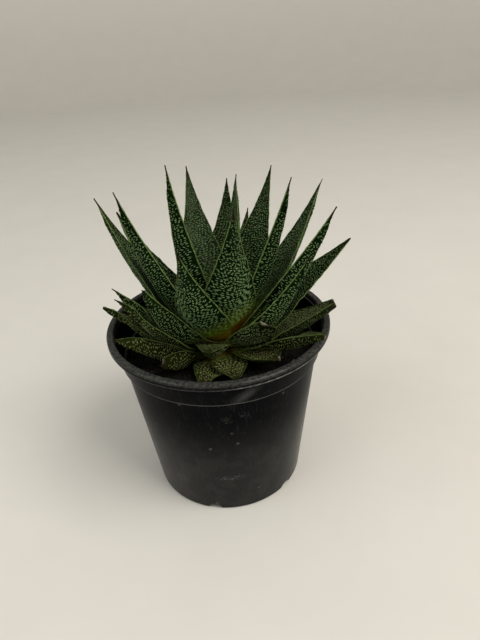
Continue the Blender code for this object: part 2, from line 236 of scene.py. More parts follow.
# Leaf number: what sets its skin apart
PALE_INSIDE = {1: 0.7, 3: 0.4, 5: 0.25, 11: 0.12}  # how pale its inner face is
# The feet's yellow and orange are their own colours, made bright as painted glow of light through
# the foot
BLUSH = {6: 1.0, 9: 0.55, 15: 0.5}  # yellow and orange at its foot
PLAIN_BLUSH = 0.25
SHADE_DIMMED_INSIDE = {26: 0.5, 27: 0.6}  # how pale the warts of its inner face are, dimmed as painted shade between the low leaves
BARE_FOOT = {6: 0.13, 9: 0.17, 15: 0.10}  # share of its length without warts
FADE_IN = {6: 0.22, 9: 0.45}  # share over which its warts grow pale
# How dry its end is, and the palest place across that end
SORE = {13: 0.3, 16: 0.3, 18: 0.3, 21: 0.4, 23: 0.9, 25: 0.3, 26: 0.7, 31: 0.8, 32: 0.8}
PALE_SPOT = {21: -0.9, 23: 1.0, 26: 0.0, 31: 0.3, 32: 1.0}
NO_SPOT = 5.0  # past both margins
SPOT_SPREAD = 0.26
LEAF_SEED = 1000


def smooth_step(x):
    """Ease from 0 to 1 as x goes from 0 to 1."""
    x = np.clip(x, 0, 1)
    return x * x * (3 - 2 * x)


def bell(x, middle, spread):
    """Soft hill of height 1 at its middle: e to the power of -((x - middle) / spread)^2."""
    return np.exp(-((x - middle) / spread) ** 2)


def read_grid(grid, row, col):
    """Value of a grid between its points: the mean of the four around, weighted by nearness."""
    i = np.clip(np.floor(row).astype(int), 0, grid.shape[0] - 2)
    j = np.clip(np.floor(col).astype(int), 0, grid.shape[1] - 2)
    u = np.clip(row - i, 0, 1)
    v = np.clip(col - j, 0, 1)
    if grid.ndim == 3:
        u = u[..., None]
        v = v[..., None]
    low = (1 - v) * grid[i, j] + v * grid[i, j + 1]
    high = (1 - v) * grid[i + 1, j] + v * grid[i + 1, j + 1]
    return (1 - u) * low + u * high


def make_mesh(name, points, faces, finish, marks=None):
    """Object from points in millimetres and arrays of faces, one array for each face size.

    Marks are named numbers, one for each point, which the materials read.
    """
    mesh = bpy.data.meshes.new(name)
    sizes = np.concatenate([np.full(len(f), f.shape[1]) for f in faces])
    corners = np.concatenate([f.ravel() for f in faces])
    mesh.vertices.add(len(points))
    mesh.vertices.foreach_set("co", np.asarray(points * MM, np.float32).ravel())
    mesh.loops.add(len(corners))
    mesh.loops.foreach_set("vertex_index", corners.astype(np.int32))
    mesh.polygons.add(len(sizes))
    mesh.polygons.foreach_set("loop_start", (np.cumsum(sizes) - sizes).astype(np.int32))
    mesh.update(calc_edges=True)
    for mark, values in (marks or {}).items():
        values = np.broadcast_to(values, len(points)).astype(np.float32)
        mesh.attributes.new(mark, "FLOAT", "POINT").data.foreach_set("value", values)
    mesh.materials.append(finish)
    mesh.shade_smooth()
    item = bpy.data.objects.new(name, mesh)
    bpy.context.collection.objects.link(item)
    return item


def make_piece(name, points, faces, finish, stands_for, marks):
    """Mesh that rides on the one body in place of a node of the frame."""
    item = make_mesh(name, points, faces, finish, marks)
    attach(item, "root")
    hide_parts(stands_for)


def wrap(rings, around):
    """Four-sided faces between rings of `around` points each, numbered ring after ring."""
    low = np.arange((rings - 1) * around).reshape(rings - 1, around)
    side = np.roll(low, -1, axis=1)
    return np.stack([low, side, side + around, low + around], axis=-1).reshape(-1, 4)


def fan(ring, middle, upwards):
    """Triangles from a ring of points to one point, facing along the rings' order or against it."""
    side = np.roll(ring, -1)
    ends = (ring, side) if upwards else (side, ring)
    return np.stack([*ends, np.full(len(ring), middle)], axis=-1)


# Nodes


class Nodes:
    """Adds nodes to a tree. Except for put and feed, each method gives the output that is wanted.

    The two kinds of tree below set the place at which patterns are read.
    """

    def __init__(self, tree):
        self.tree = tree

    def put(self, kind, feeds=None, **settings):
        """New node with its settings, whose inputs are fed by values or by other outputs."""
        made = self.tree.nodes.new("ShaderNode" + kind)
        for key, value in settings.items():
            setattr(made, key, value)
        for key, value in (feeds or {}).items():
            self.feed(made.inputs[key], value)
        return made

    def feed(self, socket, value):
        """Value or other node's output on an input."""
        if isinstance(value, bpy.types.NodeSocket):
            self.tree.links.new(value, socket)
        else:
            socket.default_value = value

    def ease(self, value, start, end, low=0.0, high=1.0):
        """Value that eases from low to high as the given one goes from start to end."""
        feeds = {0: value, 1: start, 2: end, 3: low, 4: high}
        return self.put("MapRange", feeds, interpolation_type="SMOOTHSTEP").outputs[0]

    def sums(self, operation, first, second=0.0, **settings):
        """Result of one sum on two values."""
        return self.put("Math", {0: first, 1: second}, operation=operation, **settings).outputs[0]

    def times(self, first, *others):
        """Product of values."""
        for other in others:
            first = self.sums("MULTIPLY", first, other)
        return first

    def band(self, value, start, full, fall, end):
        """1 where the value lies from full to fall, which eases to 0 at start and end."""
        return self.times(self.ease(value, start, full), self.ease(value, end, fall))

    def mark(self, name):
        """A named number of the piece's points."""
        return self.put("Attribute", attribute_name=name).outputs["Fac"]

    def use(self, group, place=None, **numbers):
        """Value of a node group, with its numbers, at a place."""
        made = self.put("Group", node_tree=group)
        for key, value in {"Place": place or self.place, **numbers}.items():
            self.feed(made.inputs[key], value)
        return made.outputs["Value"]

    def mix(self, share, first, second):
        """Colour part way from the first to the second."""
        first, second = ((*c, 1.0) if isinstance(c, tuple) else c for c in (first, second))
        return self.put("Mix", {0: share, 6: first, 7: second}, data_type="RGBA").outputs[2]

    def paint(self, colour, *coats):
        """Colour under coats of others, from the lowest to the topmost, each with its share."""
        for share, coat in coats:
            colour = self.mix(share, colour, coat)
        return colour


class Group(Nodes):
    """Node group that takes a place and named numbers, and gives one value."""

    def __init__(self, name, *inputs):
        tree = bpy.data.node_groups.new(name, "ShaderNodeTree")
        tree.interface.new_socket("Place", in_out="INPUT", socket_type="NodeSocketVector")
        for key in inputs:
            tree.interface.new_socket(key, in_out="INPUT", socket_type="NodeSocketFloat")
        tree.interface.new_socket("Value", in_out="OUTPUT", socket_type="NodeSocketFloat")
        super().__init__(tree)
        self.given = tree.nodes.new("NodeGroupInput").outputs
        self.place = self.given["Place"]

    def noise(self, detail, roughness):
        """How far a noise is from its middle value."""
        feeds = {"Vector": self.place, "Scale": self.given["Scale"],
                 "Detail": detail, "Roughness": roughness}
        return self.sums("SUBTRACT", self.put("TexNoise", feeds).outputs["Fac"], 0.5)

    def closed(self, value):
        """The group's tree, with its value on its output."""
        self.feed(self.tree.nodes.new("NodeGroupOutput").inputs["Value"], value)
        return self.tree


class Finish(Nodes):
    """Material with its Principled shader. Its place is the one on the piece in metres."""

    def __init__(self, name):
        self.material = bpy.data.materials.new(name)
        self.material.use_nodes = True
        super().__init__(self.material.node_tree)
        self.shader = self.tree.nodes["Principled BSDF"].inputs
        self.place = self.put("TexCoord").outputs["Object"]

    def cover(self, colour, rough, height, strength, distance):
        """Colour and roughness on the shader, and fine relief on its normal from a height."""
        self.feed(self.shader["Base Color"], colour)
        self.feed(self.shader["Roughness"], rough)
        bump = self.put("Bump", {"Height": height, "Strength": strength, "Distance": distance})
        self.feed(self.shader["Normal"], bump.outputs["Normal"])


def make_mottle():
    """Soft irregular patches: noise whose middle values are stretched to run from 0 to 1."""
    group = Group("mottle", "Scale", "Contrast")
    wide = group.times(group.noise(3.0, 0.6), group.given["Contrast"])
    return group.closed(group.sums("ADD", wide, 0.5, use_clamp=True))


def make_specks():
    """Scattered dots: spots round the points of a Voronoi pattern, kept at a share of them."""
    group = Group("specks", "Scale", "Size", "Share")
    given = group.given
    feeds = {"Vector": group.place, "Scale": given["Scale"], "Randomness": 1.0}
    cells = group.put("TexVoronoi", feeds).outputs
    dot = group.put("MapRange", {0: cells["Distance"], 1: given["Size"], 2: 0.0}).outputs[0]
    drawn = group.put("SeparateColor", {0: cells["Color"]}).outputs[0]
    return group.closed(group.times(dot, group.sums("LESS_THAN", drawn, given["Share"])))


def make_worms():
    """Winding lines: where a soft noise passes its middle value."""
    group = Group("worms", "Scale", "Width")
    far = group.sums("ABSOLUTE", group.noise(0.6, 0.5))
    line = group.put("MapRange", {0: far, 1: group.given["Width"], 2: 0.0})
    return group.closed(line.outputs[0])


MOTTLE = make_mottle()
SPECKS = make_specks()
WORMS = make_worms()

# Colours
DEEP_GREEN = (0.0005, 0.0033, 0.0005)
FRESH_GREEN = (0.0024, 0.0120, 0.0014)
OLIVE = (0.0200, 0.0250, 0.0045)
DULL_BROWN = (0.0120, 0.0085, 0.0045)
MARBLE = (0.110, 0.150, 0.085)
# Real yellow-green and orange of the leaves' feet, brightened as painted glow of light through them
FOOT_GREEN_AND_GLOW = (0.200, 0.300, 0.012)
FOOT_ORANGE_AND_GLOW = (0.560, 0.260, 0.018)
TIP_BROWN = (0.016, 0.010, 0.006)
WART_YOUNG = (0.205, 0.320, 0.135)
WART_OLD = (0.275, 0.305, 0.118)
MARGIN = (0.165, 0.245, 0.075)
SCAR = (0.300, 0.270, 0.180)
SCAR_BROWN = (0.040, 0.030, 0.012)
SCAR_WHITE = (0.620, 0.570, 0.440)
STEM_BROWN = (0.050, 0.045, 0.006)
PEAT_BLACK = (0.002, 0.002, 0.002)
PEAT_BROWN = (0.010, 0.009, 0.007)
BARK = (0.020, 0.017, 0.013)
PALE_GRAIN = (0.16, 0.15, 0.13)
PALE_CRUMB = (0.24, 0.22, 0.18)
POT_BLACK = (0.0008, 0.0012, 0.0020)
POT_GREY = (0.0018, 0.0024, 0.0034)
SCUFF_GREY = (0.030, 0.030, 0.029)
# painted reflection of the pale floor, low on the wall
FLOOR_REFLECTION_GREY = (0.028, 0.028, 0.025)
LIP_DUST = (0.064, 0.065, 0.058)
# painted highlight along the ledge's edge
LEDGE_HIGHLIGHT = (0.150, 0.150, 0.140)
# painted highlight along the lip's lower outer edge
LIP_HIGHLIGHT = (0.240, 0.240, 0.225)
SPECK = (0.20, 0.19, 0.16)
RUBBED_GREY = (0.17, 0.165, 0.15)
# painted reflection: the pale streak in the dent
FOLD_REFLECTION_GREY = (0.090, 0.090, 0.085)
ROOM_GREY = (0.68, 0.66, 0.61)
ROOM_PALE = (0.72, 0.70, 0.65)
WALL_PALE = (0.86, 0.84, 0.79)

# Heights on the pot in metres
LOW_WALL = (0.080, 0.030)  # the painted reflection of the pale floor, and the coat's extra gloss, start, and are full
LIP_TOP = (0.1058, 0.1080)
# band of the painted highlight along the ledge's edge
LEDGE_HIGHLIGHT_BAND = (0.0899, 0.0902, 0.0912, 0.0918)
# band of the painted highlight along the lip's lower outer edge
LIP_HIGHLIGHT_BAND = (0.1043, 0.1047, 0.1053, 0.1059)

# Materials


def leaf_material():
    """Dark mottled skin, pale warts and margins, a yellow-green foot made bright as painted glow,
    and a brown tip.
    """
    made = Finish("leaf skin")
    along, age, inner, blush = (made.mark(name) for name in ("along", "age", "inner", "blush"))
    broad = made.use(MOTTLE, Scale=130.0, Contrast=2.6)
    fine = made.use(MOTTLE, Scale=750.0, Contrast=2.2)
    worms = made.use(WORMS, Scale=780.0, Width=0.10)
    dull = made.times(inner, made.ease(broad, 0.35, 0.75, 0.0, 0.6))
    marble = made.times(
        made.mark("pale"), made.ease(fine, 0.1, 0.9, 0.45, 0.95),
        made.ease(broad, 0.15, 0.85, 0.25, 1.0), made.ease(along, 0.25, 0.70, 0.25, 1.0))
    lines = made.times(
        worms, made.ease(inner, 0.0, 1.0, 0.03, 0.10), made.ease(age, 0.0, 1.0, 1.0, 0.15))
    edge = made.times(
        made.mark("rim"), made.ease(fine, 0.0, 1.0, 0.4, 1.0), made.ease(age, 0.0, 1.0, 1.0, 0.35))
    pale = made.mix(age, WART_YOUNG, WART_OLD)
    colour = made.paint(
        made.mix(broad, DEEP_GREEN, FRESH_GREEN),
        (made.times(age, 0.75), OLIVE),
        (dull, DULL_BROWN),
        (marble, MARBLE),
        (lines, pale),
        # painted glow: the foot's real yellow-green and orange, brightened to stand in for light
        # through the leaf
        (made.times(made.ease(along, 0.46, 0.15), made.ease(blush, 0.0, 0.6)), FOOT_GREEN_AND_GLOW),
        (made.times(made.ease(along, 0.30, 0.09), blush), FOOT_ORANGE_AND_GLOW),
        (made.mark("wart"), pale),
        (edge, MARGIN),
        (made.ease(along, 0.925, 0.985, 0.0, 0.95), TIP_BROWN),
        (made.mark("scar"), SCAR_BROWN),
        (made.mark("spot"), made.mix(fine, SCAR, SCAR_WHITE)))
    rough = made.ease(fine, 0.0, 1.0, 0.40, 0.60)
    made.cover(colour, rough, made.sums("ADD", fine, worms), 0.4, 0.0002)
    made.shader["Specular IOR Level"].default_value = 0.02
    return made.material


def stem_material():
    """Live tissue between the leaves' feet: olive brown with green patches."""
    made = Finish("stem tissue")
    patches = made.use(MOTTLE, Scale=160.0, Contrast=2.4)
    fine = made.use(MOTTLE, Scale=900.0, Contrast=2.0)
    # the green patches take the feet's colour, brightened as painted glow
    colour = made.mix(patches, STEM_BROWN, FOOT_GREEN_AND_GLOW)
    made.cover(colour, made.ease(fine, 0.0, 1.0, 0.45, 0.7), fine, 0.4, 0.0002)
    return made.material


def soil_material():
    """Black peat with brown bark crumbs and a few pale grains."""
    made = Finish("dark compost")
    broad = made.use(MOTTLE, Scale=260.0, Contrast=2.8)
    fine = made.use(MOTTLE, Scale=1500.0, Contrast=2.4)
    grains = made.use(SPECKS, Scale=420.0, Size=0.3, Share=0.05)
    colour = made.paint(
        made.mix(broad, PEAT_BLACK, PEAT_BROWN),
        (made.times(fine, 0.5), BARK),
        (made.times(grains, 0.7), PALE_GRAIN),
        (made.mark("grit"), PALE_CRUMB))
    made.cover(colour, made.ease(fine, 0.0, 1.0, 0.8, 1.0), fine, 0.8, 0.0004)
    made.shader["Specular IOR Level"].default_value = 0.15
    return made.material


# Rubbed spots on the pot's wall in metres: centre, half size along each axis, and strength
RUBBED = [
    ((-0.0005, -0.0505, 0.0295), (0.0120, 0.0060, 0.0028), 0.55),
    ((-0.0025, -0.0526, 0.0490), (0.0011, 0.0060, 0.0085), 0.35),
    ((-0.0010, -0.0560, 0.0780), (0.0050, 0.0060, 0.0035), 0.40),
    ((0.0090, -0.0555, 0.0810), (0.0040, 0.0060, 0.0030), 0.25),
    ((-0.0300, -0.0400, 0.0230), (0.0060, 0.0060, 0.0050), 0.30),
    ((0.0350, 0.0340, 0.0400), (0.0060, 0.0090, 0.0160), 0.35),
    ((-0.0200, 0.0480, 0.0620), (0.0130, 0.0080, 0.0040), 0.35),
]


def rubbed_spot(made, grit, centre, size, share):
    """Strength of a rubbed spot: an oval that fades towards its edge, broken up by grit."""
    off = made.put("VectorMath", {0: made.place, 1: centre}, operation="SUBTRACT")
    off = made.put("VectorMath", {0: off.outputs[0], 1: size}, operation="DIVIDE")
    far = made.put("VectorMath", {0: off.outputs[0]}, operation="LENGTH")
    oval = made.ease(far.outputs["Value"], 1.0, 0.3)
    return made.times(oval, made.ease(grit, 0.55, 0.9, 0.0, share))


def pot_material():
    """Satin black plastic: dust on the lip, fine scuffs round the wall and a few stuck specks, with
    painted highlights along the ledge and the lip's lower outer edge, and painted reflections low
    on the wall and in the dent.
    """
    made = Finish("black pot plastic")
    spread = made.put("SeparateXYZ", {0: made.place})
    height = spread.outputs["Z"]
    broad = made.use(MOTTLE, Scale=55.0, Contrast=2.4)
    fine = made.use(MOTTLE, Scale=600.0, Contrast=2.6)
    squeezed = made.put("Mapping", {0: made.place, 3: (1.0, 1.0, 0.16)}).outputs[0]
    scuffs = made.use(MOTTLE, squeezed, Scale=900.0, Contrast=4.0)
    smears = made.use(MOTTLE, Scale=85.0, Contrast=5.0)
    grit = made.use(MOTTLE, Scale=1100.0, Contrast=3.0)
    specks = made.use(SPECKS, Scale=75.0, Size=0.095, Share=0.42)
    worn = made.times(made.ease(scuffs, 0.80, 1.0), 0.25)
    low_wall = made.ease(height, *LOW_WALL)
    on_lip = made.ease(height, *LIP_TOP)
    dust = made.times(on_lip, made.ease(fine, 0.1, 0.95, 0.2, 0.8))
    # painted highlight: a pale line along the rounded edge of the ledge
    ledge = made.times(made.band(height, *LEDGE_HIGHLIGHT_BAND), made.ease(broad, 0.0, 1.0, 0.5, 0.9))
    # painted highlight along the lip's lower outer edge, brighter towards the right
    lip_highlight = made.times(
        made.band(height, *LIP_HIGHLIGHT_BAND), made.ease(fine, 0.2, 0.9, 0.3, 1.0),
        made.ease(spread.outputs["X"], -0.010, 0.025, 0.20, 1.0))
    colour = made.paint(
        made.mix(broad, POT_BLACK, POT_GREY),
        (worn, SCUFF_GREY),
        # painted reflection: smeared lighter grey low on the wall, for the pale floor mirrored
        # there
        (made.times(made.ease(smears, 0.25, 0.95, 0.15, 0.40), low_wall), FLOOR_REFLECTION_GREY),
        (dust, LIP_DUST),
        (ledge, LEDGE_HIGHLIGHT),
        (lip_highlight, LIP_HIGHLIGHT),
        (made.times(specks, 0.6), SPECK),
        *((rubbed_spot(made, grit, *spot), RUBBED_GREY) for spot in RUBBED),
        # painted reflection in the dent's fold
        (made.mark("fold"), FOLD_REFLECTION_GREY))
    rough = made.ease(made.sums("MAXIMUM", dust, worn), 0.0, 0.8, 0.28, 0.75)
    made.cover(colour, rough, fine, 0.12, 0.0001)
    gloss = made.sums("ADD", made.times(low_wall, 0.32), 0.02)
    gloss = made.sums("MAXIMUM", gloss, made.times(on_lip, 0.3))
    made.feed(made.shader["Coat Weight"], gloss)
    made.shader["Coat Roughness"].default_value = 0.14
    made.shader["Specular IOR Level"].default_value = 0.02
    return made.material


# Pot and soil


def arc(centre, radius, start, end, steps):
    """Points on a round corner of a profile, angles in degrees."""
    turn = np.radians(np.linspace(start, end, steps + 1))
    ways = zip(np.cos(turn), np.sin(turn))
    return [(centre[0] + radius * c, centre[1] + radius * s) for c, s in ways]


def stretch(first, last, steps):
    """Points on a straight run of a profile without its last one, closer together at both ends."""
    share = (1 - np.cos(math.pi * np.arange(steps) / steps)) / 2
    return [tuple(p) for p in np.array(first) + share[:, None] * (np.array(last) - np.array(first))]


def wall_radius(height):
    """Inside radius of the pot at a height, for the pot and for the soil that fills it."""
    heights = [FLOOR, LEDGE[0], LEDGE[1], POT_HEIGHT - LIP_HEIGHT, POT_HEIGHT]
    body_top = STEP_RADIUS - WALL
    collar_top = RIM_RADIUS - LIP_OVERHANG - WALL
    collar = [body_top + STEP_OUT, collar_top, collar_top + MOUTH_FLARE]
    return np.interp(height, heights, [BASE_RADIUS - WALL, body_top, *collar])


def turned(profile, angles):
    """Grid of points, rings by angles, of a profile (radius, height) turned round Z."""
    radius, height = np.array(profile, float).T
    grid = np.empty((len(profile), len(angles), 3))
    grid[..., 0] = radius[:, None] * np.cos(angles)
    grid[..., 1] = radius[:, None] * np.sin(angles)
    grid[..., 2] = height[:, None]
    return grid


def close_turned(grid, low, high):
    """Points and faces of a turned grid that ends on the axis at two heights."""
    rings, around = grid.shape[:2]
    points = np.concatenate([grid.reshape(-1, 3), [(0, 0, low), (0, 0, high)]])
    last = rings * around
    first_ring = np.arange(around)
    faces = [wrap(rings, around), np.concatenate([
        fan(first_ring, last, upwards=False),
        fan(first_ring + last - around, last + 1, upwards=True),
    ])]
    return points, faces


def pot_angles():
    """Angles round the pot, close together across the notches in its foot."""
    across = NOTCH_WIDTH / 2 / BASE_RADIUS * NOTCH_SPREAD
    turn = 2 * math.pi / NOTCHES
    one = np.concatenate([
        np.linspace(-across, across, NOTCH_STEPS, endpoint=False),
        np.linspace(across, turn - across, NOTCH_STEPS, endpoint=False),
    ])
    return (math.radians(FIRST_NOTCH) + one[None, :] + turn * np.arange(NOTCHES)[:, None]).ravel()


def pot_profile():
    """Profile (radius, height) of the pot: out under the base, up the outside and down inside.

    Also gives how many of its points come before the inside wall.
    """
    under_lip = POT_HEIGHT - LIP_HEIGHT
    edge = RIM_RADIUS - LIP_ROUND
    mouth = wall_radius(POT_HEIGHT) + MOUTH_ROUND
    notch_end = BASE_RADIUS - NOTCH_DEPTH
    foot = BASE_RADIUS - FOOT_ROUND
    body_top = STEP_HEIGHT - STEP_SLOPE
    collar_top = wall_radius(under_lip) + WALL
    ledge_out = STEP_RADIUS + STEP_OUT
    collar_foot = (ledge_out + COLLAR_FOOT[0], STEP_HEIGHT + COLLAR_FOOT[1])
    profile = [
        *stretch((BASE_RING, 0), (notch_end, 0), 2),
        *stretch((notch_end, 0), (notch_end + NOTCH_RUN, 0), 1),
        *stretch((notch_end + NOTCH_RUN, 0), (foot, 0), 4),
        *arc((foot, FOOT_ROUND), FOOT_ROUND, -90, 0, 8),
        *stretch((BASE_RADIUS, FOOT_ROUND + RUN_END), (STEP_RADIUS, body_top), BODY_STEPS),
        (STEP_RADIUS, body_top - RUN_END),
        *arc((STEP_RADIUS + SMALL_ROUND, body_top), SMALL_ROUND, 180, 100, 3),
        *arc((ledge_out - STEP_ROUND, STEP_HEIGHT + STEP_ROUND), STEP_ROUND, -80, 8, 7),
        *stretch(collar_foot, (collar_top, under_lip - SMALL_ROUND), COLLAR_STEPS),
        *arc((collar_top + SMALL_ROUND, under_lip - SMALL_ROUND), SMALL_ROUND, 180, 90, 3),
        *arc((edge, under_lip + LIP_ROUND), LIP_ROUND, -90, 0, 7),
        *arc((edge, POT_HEIGHT - LIP_ROUND), LIP_ROUND, 0, 90, 8),
        *arc((mouth, POT_HEIGHT - MOUTH_ROUND), MOUTH_ROUND, 90, 180, 7),
    ]
    outside = len(profile)
    top = POT_HEIGHT - MOUTH_ROUND - MOUTH_DROP
    heights = np.linspace(top, FLOOR + FLOOR_BEVEL[1], INSIDE_STEPS)
    profile += [(wall_radius(z), z) for z in heights]
    profile += [(wall_radius(FLOOR) - FLOOR_BEVEL[0], FLOOR), (FLOOR_RING, FLOOR)]
    return profile, outside


def press_notches(grid, angles, outside):
    """Notches pressed up into the foot of the pot's grid.

    A notch lifts the foot to NOTCH_HEIGHT times the square root of 1 - (d / half width)^2, where d
    is the distance round the edge, and the floor over it stays clear of it.
    """
    turn = 2 * math.pi / NOTCHES
    off = (angles - math.radians(FIRST_NOTCH) + turn / 2) % turn - turn / 2
    reach = np.clip(1 - (off * BASE_RADIUS / (NOTCH_WIDTH / 2)) ** 2, 0, 1)
    lift = NOTCH_HEIGHT * np.sqrt(reach)[None, :]
    away = np.hypot(grid[..., 0], grid[..., 1])
    begun = np.clip((away - (BASE_RADIUS - NOTCH_DEPTH)) / NOTCH_RUN, 0, 1)
    lifted = np.maximum(grid[..., 2], lift * begun)
    cleared = np.maximum(grid[..., 2], lift + NOTCH_ROOF)
    is_outside = np.arange(len(grid))[:, None] < outside
    grid[..., 2] = np.where(is_outside, lifted, cleared)


def press_dent(grid, angles):
    """Dent in the collar of the pot's grid, and how strongly a painted reflection lightens each
    point in its fold.

    The dent is a hollow less a swelling beside it, both bells across a slanting line, under a bell
    along that line. The painted reflection is a bell across it too, a little below the hollow.
    """
    right = (angles[None, :] - np.radians(CREASE[0]) + math.pi) % (2 * math.pi) - math.pi
    right = right * RIM_RADIUS
    up = grid[..., 2] - CREASE[1]
    rise = math.radians(CREASE_RISE)
    across = math.cos(rise) * up - math.sin(rise) * right
    run = math.cos(rise) * right + math.sin(rise) * up
    away = np.hypot(grid[..., 0], grid[..., 1])
    near = bell(run, *CREASE_ALONG) * (away > CREASE_FROM)
    near *= grid[..., 2] < POT_HEIGHT - LIP_HEIGHT
    fold = near * (bell(across, *CREASE_HOLLOW) - SWELL_SHARE * bell(across, *CREASE_SWELL))
    grid[..., :2] *= (1 - CREASE_DEPTH * fold / away)[..., None]
    return REFLECTION_SHARE * near * bell(across, *CREASE_REFLECTION)


def make_pot(finish):
    """Pot as a turned profile, with arched notches in its foot and one dent in its collar."""
    profile, outside = pot_profile()
    angles = pot_angles()
    grid = turned(profile, angles)
    press_notches(grid, angles, outside)
    # press the dent; what comes back is the painted reflection in its fold
    light = press_dent(grid, angles)
    marks = {"fold": np.concatenate([light.ravel(), [0, 0]])}
    points, faces = close_turned(grid, 0.0, FLOOR)
    make_piece("nursery_pot", points, faces, finish, "pot", marks)


def soil_height(x, y):
    """Height of the soil: level at the wall, lower round the stem, with lumps of three sizes."""
    dip = 1 - smooth_step((np.hypot(x, y) - STEM_RADIUS) / (SOIL_DIP_REACH - STEM_RADIUS))
    height = SOIL_LEVEL - SOIL_DIP * dip
    for lattice, (cell, tall) in zip(SOIL_LATTICES, SOIL_LUMPS):
        lump = read_grid(lattice, (x + LATTICE_EDGE) / cell, (y + LATTICE_EDGE) / cell)
        height = height + tall * (lump - 0.5)
    return height


def make_soil(finish):
    """Soil that fills the pot, and crumbs: jagged balls of 20 faces half sunk in its top."""
    draw = np.random.default_rng(SOIL_SEED)
    hole = LEAF_SEAT
    rim = wall_radius(SOIL_LEVEL) - TOUCH_GAP
    wall = [(wall_radius(FLOOR) - TOUCH_GAP, FLOOR + TOUCH_GAP)]
    rings = [(r, SOIL_LEVEL) for r in np.linspace(rim, hole, SOIL_RINGS)]
    profile = wall + rings + [(hole, STEM_FOOT - TOUCH_GAP)]
    grid = turned(profile, np.linspace(0, 2 * math.pi, SOIL_SIDES, endpoint=False))
    top = slice(len(wall), len(wall) + SOIL_RINGS)
    grid[top, :, 2] = soil_height(grid[top, :, 0], grid[top, :, 1])
    points, faces = close_turned(grid, FLOOR + TOUCH_GAP, STEM_FOOT - TOUCH_GAP)
    nearest, farthest = hole + CRUMB_FREE[0], rim - CRUMB_FREE[1]
    away = np.sqrt(draw.uniform(nearest ** 2, farthest ** 2, CRUMBS))
    turn = draw.uniform(0, 2 * math.pi, CRUMBS)
    x = away * np.cos(turn)
    y = away * np.sin(turn)
    size = CRUMB_SIZE[0] + CRUMB_SIZE[1] * draw.random(CRUMBS) ** 3
    ball, ball_faces = crumb_ball()
    corners = len(ball)
    jagged = draw.uniform(0.6, 1.3, (CRUMBS, corners, 1))
    shape = ball[None] * jagged * draw.uniform(0.5, 1.3, (CRUMBS, 1, 3))
    middle = np.stack([x, y, soil_height(x, y) + CRUMB_RISE * size], axis=-1)
    crumbs = middle[:, None, :] + shape * size[:, None, None]
    start = len(points) + corners * np.arange(CRUMBS)[:, None, None]
    grit = np.repeat(draw.random(CRUMBS) < PALE_CRUMBS, corners)
    grit = grit * draw.uniform(0.4, 1.0, CRUMBS * corners)
    marks = {"grit": np.concatenate([np.zeros(len(points)), grit])}
    points = np.concatenate([points, crumbs.reshape(-1, 3)])
    faces.append((ball_faces[None] + start).reshape(-1, 3))
    make_piece("compost", points, faces, finish, "soil", marks)


def crumb_ball():
    """Twelve corners and twenty faces of an icosahedron of radius 1."""
    gold = (1 + math.sqrt(5)) / 2
    flat = [(a, b * gold, 0) for a in (-1, 1) for b in (1, -1)]
    corners = np.array([np.roll(p, k) for k in (0, 1, 2) for p in flat]) / math.hypot(1, gold)
    near = np.linalg.norm(corners[:, None] - corners[None], axis=-1) < 1.1
    faces = np.array([(a, b, c) for a in range(12) for b in range(a) for c in range(b)])
    a, b, c = faces.T
    faces = faces[near[a, b] & near[b, c] & near[a, c]]
    a, b, c = (corners[faces[:, k]] for k in range(3))
    inwards = np.einsum("ij,ij->i", np.cross(b - a, c - a), a) < 0
    faces[inwards] = faces[inwards][:, ::-1]
    return corners, faces


# Leaves


def on_stem(points):
    """Points moved onto the seat that the leaves have round the stem and its dome."""
    hub = np.zeros(points.shape)
    hub[..., 2] = np.minimum(points[..., 2], CROWN_HEIGHT)
    reach = np.linalg.norm(points - hub, axis=-1, keepdims=True)
    return hub + (points - hub) / reach * LEAF_SEAT


